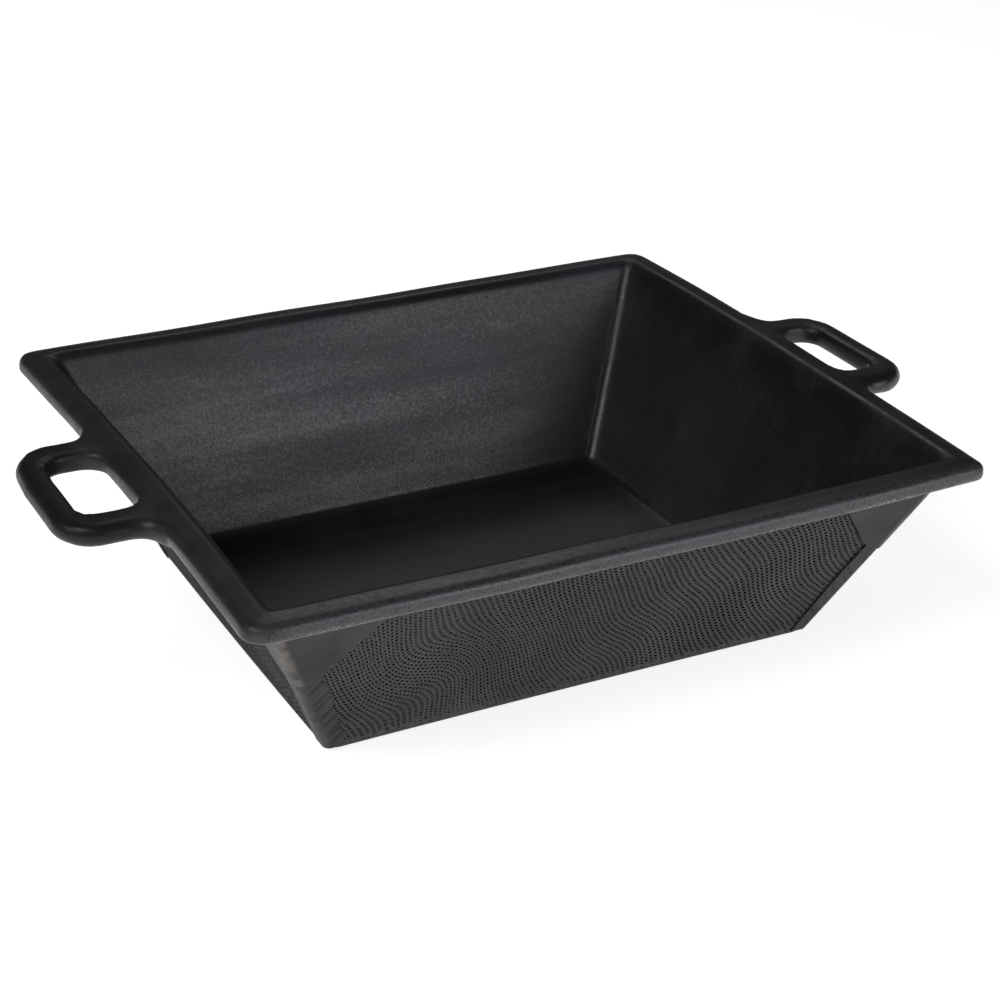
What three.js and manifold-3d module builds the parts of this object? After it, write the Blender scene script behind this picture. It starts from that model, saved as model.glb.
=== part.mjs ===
// A moulded rubber mortar mixing tub, built up from rubber sheets and nylon fabric.
//
// The tub stands on its base at z = 0, with its length along X and its width along Y. The origin
// is the middle of the base's underside. Lengths are in millimetres.
//
// The lay-up, from the inside out: a smooth liner, an open nylon fabric ply, and an outer panel on
// each wall. Rubber gussets and straps cover the four outside corners, where the panels meet. A
// cord ring and a folded cover make the rim, and each end carries a loop handle on a U of cord.

import * as THREE from "three";
import { mergeVertices } from "three/addons/utils/BufferGeometryUtils.js";
import Module from "manifold-3d";

const wasm = await Module();
wasm.setup();

// ---- Driving dimensions ------------------------------------------------------------------------

// The tub, over its rim and over its base.
const rimLength = 560;
const rimWidth = 490;
const tubHeight = 156;
const baseLength = 386;
const baseWidth = 320;

// The rim: how far it reaches out from the mouth, its thickness and its roundings.
const rimReach = 23;
const rimThickness = 13;
const rimCornerRadius = 16;
const rimEdgeRadius = 5;
const mouthRounding = 5;
const coverSheet = 3;
const ringEdgeRadius = 1;

// The lay-up of walls and floor. Wall thicknesses are measured level.
const panelSheet = 2.2;
const fabricPly = 0.8;
const linerSheet = 3.2;
const baseSheet = 2.6;
const cornerRadius = 9;
const insideRadius = 5;

// Bonded layers lie this far apart.
const layerGap = 0.3;
// The fabric stops this far short of the corners and of the rim.
const fabricMargin = 9;

// The corner pieces outside.
const gussetSheet = 1.8;
const gussetLow = 80;
const gussetTipWidth = 12;
const gussetWidth = 96;
const strapSheet = 1.2;
const strapLow = 3.4;
const strapWidthLow = 14;
const strapWidthHigh = 21;

// The handles, and the cord inside them.
const handleReach = 60;
const handleWidth = 148;
const handleThickness = 17;
const handleEdgeRadius = 6;
const handleCornerRadius = 27;
const gripLength = 94;
const gripBar = 21;
const gripCornerRadius = 14;
const rootFlare = 20;
const rootFlareReach = 15;
const rootFlareEase = 2;
const cordDiameter = 8;
const cordBend = 21;

// ---- Sizes that follow -------------------------------------------------------------------------

const linerInset = panelSheet + fabricPly + 2 * layerGap;
const wallThickness = linerInset + linerSheet;
const fabricFloor = baseSheet + layerGap;
const linerFloor = fabricFloor + fabricPly + layerGap;
const floorTop = linerFloor + linerSheet;
const wallTop = tubHeight - coverSheet - layerGap;
const rimUnderside = tubHeight - rimThickness;

// Cutting bodies run this far past what they cut, and joined bodies share this much.
const past = 10;
const shared = 0.01;

// How far the outside of the walls leans out for each millimetre of height.
const slopeX = (rimLength / 2 - rimReach + wallThickness - baseLength / 2) / tubHeight;
const slopeY = (rimWidth / 2 - rimReach + wallThickness - baseWidth / 2) / tubHeight;
const slopeRun = Math.hypot(slopeX, slopeY);

// The outside of the walls at height z, moved inwards by inset, as half a length and half a width.
const wallHalf = (z, inset = 0) => new THREE.Vector2(
  baseLength / 2 + slopeX * z - inset,
  baseWidth / 2 + slopeY * z - inset,
);

// ---- Solids and booleans -----------------------------------------------------------------------

// How finely arcs, the mouth's rounding and the cord's length are stepped.
const arcSteps = 5;
const roundingSteps = 3;
const cordPoints = 28;
const cordSteps = 36;

function solid(geometry) {
  const bare = geometry.clone();
  bare.deleteAttribute("normal");
  bare.deleteAttribute("uv");
  const merged = mergeVertices(bare, 1e-4);
  return new wasm.Manifold(new wasm.Mesh({
    numProp: 3,
    vertProperties: new Float32Array(merged.attributes.position.array),
    triVerts: new Uint32Array(merged.index.array),
  }));
}

function geometryOf(body) {
  const mesh = body.getMesh();
  const geometry = new THREE.BufferGeometry();
  const points = new Float32Array(mesh.vertProperties);
  geometry.setAttribute("position", new THREE.BufferAttribute(points, 3));
  geometry.setIndex(new THREE.BufferAttribute(new Uint32Array(mesh.triVerts), 1));
  geometry.computeVertexNormals();
  return geometry;
}

function roundedRectangle(halfX, halfY, radius) {
  const shape = new THREE.Shape();
  const x = halfX - radius;
  const y = halfY - radius;
  shape.absarc(x, -y, radius, -Math.PI / 2, 0);
  shape.absarc(x, y, radius, 0, Math.PI / 2);
  shape.absarc(-x, y, radius, Math.PI / 2, Math.PI);
  shape.absarc(-x, -y, radius, Math.PI, Math.PI * 1.5);
  return shape;
}

// A block with rounded corners whose sides lean from one half size at its foot to another on top.
function leaningBlock(lowHalf, highHalf, lowZ, highZ, radius) {
  const depth = highZ - lowZ;
  const geometry = new THREE.ExtrudeGeometry(
    roundedRectangle(lowHalf.x, lowHalf.y, radius),
    { depth, bevelEnabled: false, curveSegments: arcSteps },
  );
  const place = geometry.attributes.position;
  for (let i = 0; i < place.count; i += 1) {
    const share = place.getZ(i) / depth;
    place.setX(i, place.getX(i) + Math.sign(place.getX(i)) * (highHalf.x - lowHalf.x) * share);
    place.setY(i, place.getY(i) + Math.sign(place.getY(i)) * (highHalf.y - lowHalf.y) * share);
  }
  return solid(geometry.translate(0, 0, lowZ));
}

// Everything within the wall surface that lies inset from the outside.
function wallBlock(inset, lowZ, highZ, radius = cornerRadius) {
  return leaningBlock(wallHalf(lowZ, inset), wallHalf(highZ, inset), lowZ, highZ, radius);
}

// A layer of the walls between two insets.
function wallLayer(outerInset, innerInset, lowZ, highZ) {
  const outerRadius = Math.max(cornerRadius - outerInset, insideRadius);
  const innerRadius = Math.max(cornerRadius - innerInset, insideRadius);
  const outer = wallBlock(outerInset, lowZ, highZ, outerRadius);
  return outer.subtract(wallBlock(innerInset, lowZ - past, highZ + past, innerRadius));
}

function outlinePrism(points, lowZ, highZ) {
  const shape = new THREE.Shape(points.map(([x, y]) => new THREE.Vector2(x, y)));
  const geometry = new THREE.ExtrudeGeometry(shape, { depth: highZ - lowZ, bevelEnabled: false });
  return solid(geometry.translate(0, 0, lowZ));
}

// All that lies beyond a plane: the box that holds it is turned so that its foot is the plane.
function beyondPlane(point, normal) {
  const size = 2 * rimLength;
  const geometry = new THREE.BoxGeometry(size, size, size).translate(0, 0, size / 2);
  const turn = new THREE.Quaternion().setFromUnitVectors(new THREE.Vector3(0, 0, 1), normal);
  return solid(geometry.applyQuaternion(turn).translate(point.x, point.y, point.z));
}

// ---- The four walls and the four corners -------------------------------------------------------

const walls = [
  { name: "front", along: "x", sign: -1 },
  { name: "back", along: "x", sign: 1 },
  { name: "left", along: "y", sign: -1 },
  { name: "right", along: "y", sign: 1 },
];
const corners = [
  { name: "front_left", x: -1, y: -1 },
  { name: "front_right", x: 1, y: -1 },
  { name: "back_left", x: -1, y: 1 },
  { name: "back_right", x: 1, y: 1 },
];

// The corner edges run on below the base and would meet there. Each wall's space starts this share
// of the way down to that.
const sectorDepth = 0.8;

// The space over one wall, between the upright planes through its two corner edges. It stands
// margin clear of each plane.
function wallSector(wall, margin) {
  const innerRun = -sectorDepth * Math.min(baseLength / 2 / slopeX, baseWidth / 2 / slopeY);
  const outerRun = 2 * tubHeight;
  const inner = wallHalf(innerRun);
  const outer = wallHalf(outerRun);
  const runsAlongX = wall.along === "x";
  const trim = margin * slopeRun / (runsAlongX ? slopeY : slopeX);
  const ends = runsAlongX
    ? [[inner.x - trim, inner.y], [outer.x - trim, outer.y]]
    : [[inner.y - trim, inner.x], [outer.y - trim, outer.x]];
  const [[nearHalf, nearOut], [farHalf, farOut]] = ends;
  const outline = [[-nearHalf, nearOut], [nearHalf, nearOut], [farHalf, farOut], [-farHalf, farOut]];
  const placed = outline.map(([along, out]) => (
    runsAlongX ? [along, out * wall.sign] : [out * wall.sign, along]
  ));
  return outlinePrism(placed, -past, tubHeight + past);
}

// The direction out of a corner in plan, and the corner edge's place at height z.
function cornerFrame(corner) {
  const out = new THREE.Vector3(corner.x, corner.y, 0).normalize();
  const edgeAt = (z) => new THREE.Vector3(corner.x * wallHalf(z).x, corner.y * wallHalf(z).y, z);
  return { out, edgeAt };
}

// A plane that crosses the corner's edge plane through two points, given by their height and by
// how far along each wall they lie from the corner edge.
function cornerPlane(corner, low, high) {
  const { out, edgeAt } = cornerFrame(corner);
  const across = new THREE.Vector3(-out.y, out.x, 0);
  const at = ({ z, width }) => edgeAt(z).addScaledVector(out, -width * Math.SQRT1_2);
  const lowPoint = at(low);
  const normal = new THREE.Vector3().crossVectors(across, at(high).sub(lowPoint)).normalize();
  if (normal.dot(out) < 0) normal.negate();
  return beyondPlane(lowPoint, normal);
}

// ---- The sheets of the lay-up ------------------------------------------------------------------

function makeLiner() {
  const outerRadius = Math.max(cornerRadius - linerInset, insideRadius);
  const outside = wallBlock(linerInset, linerFloor, wallTop, outerRadius);
  return outside.subtract(wallBlock(wallThickness, floorTop, wallTop + past, insideRadius));
}

function makeBasePanel() {
  return wallBlock(0, 0, baseSheet);
}

function makeFloorFabric() {
  const reach = linerInset + fabricMargin;
  return wallBlock(reach, fabricFloor, fabricFloor + fabricPly, insideRadius);
}

function makeWallFabric(wall) {
  const inset = panelSheet + layerGap;
  const layer = wallLayer(inset, inset + fabricPly, linerFloor + fabricMargin, rimUnderside);
  return layer.intersect(wallSector(wall, fabricMargin));
}

function makeWallPanel(wall) {
  const layer = wallLayer(0, panelSheet, baseSheet + layerGap, wallTop);
  return layer.intersect(wallSector(wall, layerGap / 2));
}

// ---- The corner pieces -------------------------------------------------------------------------

function makeCornerGusset(corner) {
  const top = rimUnderside - layerGap;
  const radius = cornerRadius + layerGap;
  const sheet = wallBlock(-layerGap - gussetSheet, gussetLow, top, radius + gussetSheet)
    .subtract(wallBlock(-layerGap, gussetLow - past, top + past, radius));
  const tip = { z: gussetLow, width: gussetTipWidth };
  return sheet.intersect(cornerPlane(corner, tip, { z: top, width: gussetWidth }));
}

function makeCornerStrap(corner) {
  const top = gussetLow - layerGap;
  const radius = cornerRadius + layerGap;
  const sheet = wallBlock(-layerGap - strapSheet, strapLow, top, radius + strapSheet)
    .subtract(wallBlock(-layerGap, strapLow - past, top + past, radius));
  const low = { z: strapLow, width: strapWidthLow };
  return sheet.intersect(cornerPlane(corner, low, { z: top, width: strapWidthHigh }));
}

// ---- The rim -----------------------------------------------------------------------------------

function plate(shape, lowZ, highZ, edgeRadius) {
  const geometry = new THREE.ExtrudeGeometry(shape, {
    depth: highZ - lowZ - 2 * edgeRadius,
    bevelThickness: edgeRadius,
    bevelSize: edgeRadius,
    bevelOffset: -edgeRadius,
    bevelSegments: 3,
    curveSegments: arcSteps,
  });
  return solid(geometry.translate(0, 0, lowZ + edgeRadius));
}

// What the mouth takes out of the rim: the tub's inside, rounding over into the rim's top.
function makeMouth() {
  let mouth = wallBlock(wallThickness, rimUnderside - past, tubHeight, insideRadius);
  for (let i = 0; i < roundingSteps; i += 1) {
    const [low, high] = [i, i + 1].map((step) => {
      const angle = (step / roundingSteps) * Math.PI / 2;
      const z = tubHeight - mouthRounding + mouthRounding * Math.sin(angle);
      return { z, half: wallHalf(z, wallThickness - mouthRounding * (1 - Math.cos(angle))) };
    });
    mouth = mouth.add(leaningBlock(low.half, high.half, low.z, high.z, insideRadius));
  }
  const brim = wallHalf(tubHeight, wallThickness - mouthRounding);
  return mouth.add(leaningBlock(brim, brim, tubHeight - shared, tubHeight + past, insideRadius));
}

// The hollow of the rim's cover, which its cord ring and the top of the walls fill.
function makeRimHollow() {
  const low = rimUnderside + coverSheet;
  const high = tubHeight - coverSheet;
  const shape = roundedRectangle(
    rimLength / 2 - coverSheet,
    rimWidth / 2 - coverSheet,
    rimCornerRadius - coverSheet,
  );
  const geometry = new THREE.ExtrudeGeometry(
    shape,
    { depth: high - low, bevelEnabled: false, curveSegments: arcSteps },
  );
  const channel = solid(geometry.translate(0, 0, low));
  return channel.add(wallBlock(-layerGap, rimUnderside - past, high, cornerRadius + layerGap));
}

function makeRimCover(cords) {
  const shape = roundedRectangle(rimLength / 2, rimWidth / 2, rimCornerRadius);
  let cover = plate(shape, rimUnderside, tubHeight, rimEdgeRadius);
  cover = cover.subtract(makeMouth()).subtract(makeRimHollow());
  cords.forEach((cord) => {
    cover = cover.subtract(cord);
  });
  return cover;
}

function makeRimCore() {
  const edge = coverSheet + layerGap;
  const shape = roundedRectangle(rimLength / 2 - edge, rimWidth / 2 - edge, rimCornerRadius - edge);
  const core = plate(shape, rimUnderside + edge, tubHeight - edge, ringEdgeRadius);
  const walled = wallBlock(-2 * layerGap, rimUnderside - past, tubHeight + past, cornerRadius);
  return core.subtract(walled);
}

// ---- The handles -------------------------------------------------------------------------------

// One handle in plan, as a U that opens towards the rim. x is measured out from the rim's edge.
function handleOutline() {
  const root = -2 * rootFlare;
  const half = handleWidth / 2;
  const foot = half + rootFlare;
  const corner = handleCornerRadius;
  const grip = gripLength / 2;
  const gripX = handleReach - gripBar - gripCornerRadius;
  const gripY = grip - gripCornerRadius;
  const ease = rootFlareEase;
  const shape = new THREE.Shape();
  shape.moveTo(root, -foot - rootFlare);
  shape.lineTo(-ease, -foot - rootFlare);
  shape.lineTo(0, -foot);
  shape.bezierCurveTo(ease, -half - 2 * ease, rootFlareReach / 2, -half, rootFlareReach, -half);
  shape.absarc(handleReach - corner, -half + corner, corner, -Math.PI / 2, 0);
  shape.absarc(handleReach - corner, half - corner, corner, 0, Math.PI / 2);
  shape.lineTo(rootFlareReach, half);
  shape.bezierCurveTo(rootFlareReach / 2, half, ease, half + 2 * ease, 0, foot);
  shape.lineTo(-ease, foot + rootFlare);
  shape.lineTo(root, foot + rootFlare);
  shape.lineTo(root, grip);
  shape.absarc(gripX, gripY, gripCornerRadius, Math.PI / 2, 0, true);
  shape.absarc(gripX, -gripY, gripCornerRadius, 0, -Math.PI / 2, true);
  shape.lineTo(root, -grip);
  return shape;
}

// The cord's path: out through the rim, round the handle and back. x is measured as above.
function cordPath() {
  const arm = (handleWidth + gripLength) / 4;
  const bar = handleReach - gripBar / 2;
  const bend = cordBend;
  const start = -coverSheet;
  const z = tubHeight - handleThickness / 2;
  const at = (x, y) => new THREE.Vector3(x, y, z);
  const path = new THREE.CurvePath();
  path.add(new THREE.LineCurve3(at(start, -arm), at(bar - bend, -arm)));
  path.add(new THREE.QuadraticBezierCurve3(at(bar - bend, -arm), at(bar, -arm), at(bar, bend - arm)));
  path.add(new THREE.LineCurve3(at(bar, bend - arm), at(bar, arm - bend)));
  path.add(new THREE.QuadraticBezierCurve3(at(bar, arm - bend), at(bar, arm), at(bar - bend, arm)));
  path.add(new THREE.LineCurve3(at(bar - bend, arm), at(start, arm)));
  return path;
}

function makeCord(radius) {
  const section = new THREE.Shape().absarc(0, 0, radius, 0, Math.PI * 2);
  const points = cordPath().getSpacedPoints(cordPoints);
  const spine = new THREE.CatmullRomCurve3(points, false, "centripetal");
  return solid(new THREE.ExtrudeGeometry(section, {
    steps: cordSteps,
    curveSegments: arcSteps,
    bevelEnabled: false,
    extrudePath: spine,
  }));
}

function makeHandleSleeve() {
  const sleeve = plate(handleOutline(), tubHeight - handleThickness, tubHeight, handleEdgeRadius);
  const rimFace = beyondPlane(new THREE.Vector3(layerGap, 0, 0), new THREE.Vector3(1, 0, 0));
  return sleeve.intersect(rimFace).subtract(makeCord(cordDiameter / 2 + layerGap));
}

// A piece made at the rim's edge is set at the right end, or turned round to the left end.
function atEnd(body, end) {
  const set = body.translate([rimLength / 2, 0, 0]);
  return end === "right" ? set : set.rotate([0, 0, 180]);
}

// ---- The assembly ------------------------------------------------------------------------------

const finish = {
  liner: new THREE.MeshStandardMaterial({ color: 0x2b2c31, roughness: 0.5, metalness: 0 }),
  fabric: new THREE.MeshStandardMaterial({ color: 0x8c8577, roughness: 0.9, metalness: 0 }),
  panel: new THREE.MeshStandardMaterial({ color: 0x26272a, roughness: 0.75, metalness: 0 }),
  patch: new THREE.MeshStandardMaterial({ color: 0x35332f, roughness: 0.7, metalness: 0 }),
  rim: new THREE.MeshStandardMaterial({ color: 0x2a2b30, roughness: 0.55, metalness: 0 }),
  cord: new THREE.MeshStandardMaterial({ color: 0x6b6558, roughness: 0.9, metalness: 0 }),
};

const tub = new THREE.Group();

function addPiece(name, body, material) {
  const mesh = new THREE.Mesh(geometryOf(body), material);
  mesh.name = name;
  tub.add(mesh);
}

addPiece("inner_liner", makeLiner(), finish.liner);
addPiece("base_panel", makeBasePanel(), finish.panel);
addPiece("floor_fabric", makeFloorFabric(), finish.fabric);
walls.forEach((wall) => {
  addPiece(`${wall.name}_wall_fabric`, makeWallFabric(wall), finish.fabric);
  addPiece(`${wall.name}_wall_panel`, makeWallPanel(wall), finish.panel);
});
corners.forEach((corner) => {
  addPiece(`${corner.name}_corner_gusset`, makeCornerGusset(corner), finish.patch);
  addPiece(`${corner.name}_corner_strap`, makeCornerStrap(corner), finish.patch);
});

const ends = ["left", "right"];
const cordHoles = ends.map((end) => atEnd(makeCord(cordDiameter / 2 + layerGap), end));
addPiece("rim_cord_ring", makeRimCore(), finish.cord);
addPiece("rim_cover", makeRimCover(cordHoles), finish.rim);
ends.forEach((end) => {
  addPiece(`${end}_handle_cord`, atEnd(makeCord(cordDiameter / 2), end), finish.cord);
  addPiece(`${end}_handle_sleeve`, atEnd(makeHandleSleeve(), end), finish.rim);
});

export default tub;
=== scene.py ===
# %% [markdown]
# # A moulded rubber mortar tub
#
# The tub is a shallow tray with leaning walls, a thick rolled rim and a loop handle at each end.
# It is laid up by hand from rubber sheets and nylon fabric on a steel form, then cured under
# pressure. A rough cloth pressed on the outside leaves its mark there as rows of small pits.
#
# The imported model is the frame. It gives every size and place, and this script gives the looks.

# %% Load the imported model
import math

import bmesh
import bpy
import numpy as np
from mathutils import Matrix, Vector


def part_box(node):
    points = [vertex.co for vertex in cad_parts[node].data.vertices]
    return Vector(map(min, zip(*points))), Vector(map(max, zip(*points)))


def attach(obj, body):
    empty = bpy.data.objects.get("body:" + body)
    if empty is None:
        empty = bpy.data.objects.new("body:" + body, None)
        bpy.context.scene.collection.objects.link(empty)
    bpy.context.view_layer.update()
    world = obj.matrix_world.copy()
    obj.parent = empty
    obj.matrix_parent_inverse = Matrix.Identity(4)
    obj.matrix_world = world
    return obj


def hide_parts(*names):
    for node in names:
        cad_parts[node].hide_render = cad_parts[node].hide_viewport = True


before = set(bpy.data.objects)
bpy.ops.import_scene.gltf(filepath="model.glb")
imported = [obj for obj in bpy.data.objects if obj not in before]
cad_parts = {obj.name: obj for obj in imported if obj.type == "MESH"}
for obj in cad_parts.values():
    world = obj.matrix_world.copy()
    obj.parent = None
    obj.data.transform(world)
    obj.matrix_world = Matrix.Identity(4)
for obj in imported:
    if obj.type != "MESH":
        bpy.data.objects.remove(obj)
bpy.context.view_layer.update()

MM = 0.001

# %% [markdown]
# ## The camera
#
# The camera looks down on the tub from its front left, as one looks at a tub on the ground. A long
# lens keeps the sides nearly parallel, and the slight tilt is that of a camera held by hand. A
# constraint could aim it at the tub, but a fixed place and turn are easier to read.

# %% Camera
EYE = Vector((-0.7009, -1.3643, 0.8269))
LOOK_AT = Vector((0.01935, 0.0, 0.07393))
TILT = math.radians(1.1454)
LENS = 81.55
SENSOR = 36

ahead = (LOOK_AT - EYE).normalized()
level_right = ahead.cross(Vector((0, 0, 1))).normalized()
upright = level_right.cross(ahead)
right = level_right * math.cos(TILT) + upright * math.sin(TILT)
up = upright * math.cos(TILT) - level_right * math.sin(TILT)
lens = bpy.data.cameras.new("camera")
lens.lens = LENS
lens.sensor_width = SENSOR
camera = bpy.data.objects.new("camera", lens)
turn = Matrix((right, up, -ahead)).transposed().to_4x4()
camera.matrix_world = Matrix.Translation(EYE) @ turn
bpy.context.scene.collection.objects.link(camera)
bpy.context.scene.camera = camera
bpy.context.scene.view_settings.view_transform = "Standard"
print("camera set", round((LOOK_AT - EYE).length, 3), "m from the tub")


# %% [markdown]
# ## The moves that every piece needs
#
# Each piece is made with the same few moves: a block is stretched, faces and edges are chosen by
# their place or direction, and a cut or a modifier is applied. These helpers name the moves. In
# Blender's window they are a click on the piece, edit mode, and the modifier's Apply.


# %% Choosing a piece and its parts
def alone(piece):
    """Makes piece the only selected object, and the active one."""
    bpy.ops.object.select_all(action="DESELECT")
    piece.select_set(True)
    bpy.context.view_layer.objects.active = piece
    return piece


def settle_place(piece):
    """Takes the object's place, turn and scale into its mesh."""
    alone(piece)
    bpy.ops.object.transform_apply(location=True, rotation=True, scale=True)
    return piece


def block(name, low, high):
    """A cube primitive stretched between two corners."""
    low, high = Vector(low), Vector(high)
    bpy.ops.object.select_all(action="DESELECT")
    bpy.ops.mesh.primitive_cube_add(size=1, location=(low + high) / 2)
    piece = bpy.context.active_object
    piece.name = piece.data.name = name
    piece.scale = high - low
    return settle_place(piece)


def pick(piece, kind, test):
    """In edit mode, selects the faces, edges or corners that pass the test."""
    bpy.ops.mesh.select_mode(type=kind)
    bpy.ops.mesh.select_all(action="DESELECT")
    shape = bmesh.from_edit_mesh(piece.data)
    items = {"FACE": shape.faces, "EDGE": shape.edges, "VERT": shape.verts}[kind]
    found = 0
    for item in items:
        if test(item):
            item.select_set(True)
            found += 1
    shape.select_flush_mode()
    bmesh.update_edit_mesh(piece.data)
    return found


def middle(edge):
    return (edge.verts[0].co + edge.verts[1].co) / 2


STEEP = 0.6


def rises(edge):
    """Whether an edge climbs more than it runs level."""
    step = edge.verts[1].co - edge.verts[0].co
    return abs(step.z) > STEEP * step.length


# %% Editing and cutting
def edit(piece):
    """Opens a piece in edit mode with everything chosen."""
    alone(piece)
    bpy.ops.object.mode_set(mode="EDIT")
    bpy.ops.mesh.select_mode(type="VERT")
    bpy.ops.mesh.select_all(action="SELECT")


def leave_edit():
    bpy.ops.object.mode_set(mode="OBJECT")


def apply_modifier(piece, kind, **settings):
    """Adds a modifier with these settings and applies it at once."""
    alone(piece)
    modifier = piece.modifiers.new(kind.title(), kind)
    for key, value in settings.items():
        setattr(modifier, key, value)
    bpy.ops.object.modifier_apply(modifier=modifier.name)


def cut_away(piece, cutter):
    """Takes the cutter's solid out of the piece."""
    apply_modifier(piece, "BOOLEAN", operation="DIFFERENCE", solver="EXACT", object=cutter)
    bpy.data.objects.remove(cutter)


def slice_grid(piece, axis, step):
    """Cuts the mesh with level planes a step apart along one axis, so that it can bend."""
    places = [corner.co[axis] for corner in piece.data.vertices]
    low, high = min(places), max(places)
    count = max(1, round((high - low) / step))
    normal = Vector((0, 0, 0))
    normal[axis] = 1
    edit(piece)
    for i in range(1, count):
        spot = normal * (low + (high - low) * i / count)
        bpy.ops.mesh.select_all(action="SELECT")
        bpy.ops.mesh.bisect(plane_co=spot, plane_no=normal)
    leave_edit()


def copy_turned(piece, name, turn=0.0):
    """A copy with its own mesh, turned about the tub's middle."""
    made = piece.copy()
    made.data = piece.data.copy()
    made.name = made.data.name = name
    bpy.context.scene.collection.objects.link(made)
    made.rotation_euler.z = turn
    return settle_place(made)


# %% The corners of a mesh as one table
def points_of(piece):
    flat = np.empty(len(piece.data.vertices) * 3)
    piece.data.vertices.foreach_get("co", flat)
    return flat.reshape(-1, 3)


def set_points(piece, points):
    piece.data.vertices.foreach_set("co", points.ravel())
    piece.data.update()


def triangles(piece):
    return sum(len(face.vertices) - 2 for face in piece.data.polygons)


# %% Sizes read from the frame
rim_low, rim_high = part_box("rim_cover")
liner_low, liner_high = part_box("inner_liner")
base_low, base_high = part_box("base_panel")
handle_low, handle_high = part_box("right_handle_sleeve")
gusset_low, gusset_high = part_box("front_left_corner_gusset")

# From the outside of a wall inwards, measured level: to the liner, and to the inside.
LINER_INSET = 3.6 * MM
WALL = 6.8 * MM
CORNER = 9 * MM
LAYER_GAP = 0.3 * MM

rise = liner_high.z - base_high.z
lean_x = (liner_high.x + LINER_INSET - base_high.x) / rise
lean_y = (liner_high.y + LINER_INSET - base_high.y) / rise


def half_x(z, inset=0):
    """Half the tub's length at height z, at a distance in from the outside of its walls."""
    return base_high.x + lean_x * (z - base_high.z) - inset


def half_y(z, inset=0):
    return base_high.y + lean_y * (z - base_high.z) - inset


print("the walls lean out by", round(lean_x, 3), "and", round(lean_y, 3), "for each unit of height")

# %% [markdown]
# ## The bows of soft rubber
#
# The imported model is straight. A real tub of this kind leaves its form a little bowed, and every
# layer of it bows together. One smooth field of moves gives this to all the pieces, so bonded
# layers stay together. A lattice could do it too, but a field in code is the same for all pieces.

# %% How the tub has settled
FRONT_BOW = 5.0 * MM
RIGHT_BOW = 5.7 * MM
LEFT_BOW = 5.0 * MM
BACK_BOW = 1.0 * MM
FRONT_FOOT_BOW = 1.8 * MM
LEFT_FOOT_BOW = 1.4 * MM
BOW_EASE = 1.5
UNEVEN = 0.45 * MM
UNEVEN_LENGTHS = (0.21, 0.14, 0.11)
# Past the rim the right handle and the near end of the left one keep their place.
HANDLE_HOLD = 40 * MM
NEAR_END = 65 * MM
NEAR_FADE = 50 * MM
# The right handle was laid a little nearer the front, narrower, and hangs at its outer end.
HANDLE_SHIFT = 6.0 * MM
HANDLE_SQUEEZE = 8.0 * MM
HANDLE_HANG = 1.5 * MM
# That move starts at the mouth's edge and fades out along the rim.
MOUTH_EDGE = 18 * MM
SHIFT_REACH = 190 * MM
SHIFT_FADE = 80 * MM


def waves(points, seed, lengths, amount):
    """A sum of a few long waves in random directions, as a share of amount."""
    draw = np.random.default_rng(seed)
    total = np.zeros(len(points))
    for length in lengths:
        way = draw.normal(size=3)
        way *= 2 * math.pi / (length * np.linalg.norm(way))
        total += np.sin(points @ way + draw.uniform(0, 2 * math.pi))
    return amount * total / len(lengths)


def bow(piece):
    """Moves every point of a piece as the rubber there has settled."""
    points = points_of(piece)
    x, y, z = points.T
    height = np.clip(z / rim_high.z, 0, 1)
    reach_x = rim_high.x - lean_x * (rim_high.z - z)
    reach_y = rim_high.y - lean_y * (rim_high.z - z)
    share_x = np.clip(x / reach_x, -1, 1)
    share_y = np.clip(y / reach_y, -1, 1)
    along_x, along_y = 1 - share_x**2, 1 - share_y**2
    front = np.clip(-share_y, 0, 1) ** BOW_EASE * along_x
    back = np.clip(share_y, 0, 1) ** BOW_EASE * along_x
    left = np.clip(-share_x, 0, 1) ** BOW_EASE * along_y
    right_side = np.clip(share_x, 0, 1) ** BOW_EASE * along_y
    right_side *= 1 - np.clip((x - rim_high.x) / HANDLE_HOLD, 0, 1)
    near_end = np.clip((NEAR_END - y) / NEAR_FADE, 0, 1)
    left *= 1 - near_end * np.clip((-x - rim_high.x) / HANDLE_HOLD, 0, 1)
    moved = points.copy()
    moved[:, 1] += front * (FRONT_FOOT_BOW * (1 - height) - FRONT_BOW * height)
    moved[:, 1] -= back * BACK_BOW * height
    moved[:, 0] += left * (LEFT_BOW * height - LEFT_FOOT_BOW * (1 - height))
    moved[:, 0] += right_side * RIGHT_BOW * height
    past_mouth = np.clip((x - rim_high.x + MOUTH_EDGE) / MOUTH_EDGE, 0, 1)
    near_handle = np.clip((SHIFT_REACH - np.abs(y)) / SHIFT_FADE, 0, 1)
    across = np.clip((y - handle_low.y) / (handle_high.y - handle_low.y), 0, 1)
    moved[:, 1] -= past_mouth * near_handle * (HANDLE_SHIFT + HANDLE_SQUEEZE * across)
    hang = np.clip((x - rim_high.x) / (handle_high.x - rim_high.x), 0, 1)
    moved[:, 2] -= HANDLE_HANG * hang
    for axis, seed in ((0, 3), (1, 5), (2, 8)):
        moved[:, axis] += height * waves(points, seed, UNEVEN_LENGTHS, UNEVEN)
    set_points(piece, moved)
    return piece


def finish_piece(piece, slot, material, *nodes, angle=35):
    """The last steps for every piece: bow, smooth shading, finish, and its place in the frame."""
    bow(piece)
    alone(piece)
    bpy.ops.object.shade_smooth_by_angle(angle=math.radians(angle))
    piece.data.materials.clear()
    piece.data.materials.append(material)
    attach(piece, "root")
    if nodes:
        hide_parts(*nodes)
    print(piece.name, "has", triangles(piece), "triangles")
    return piece

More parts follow.
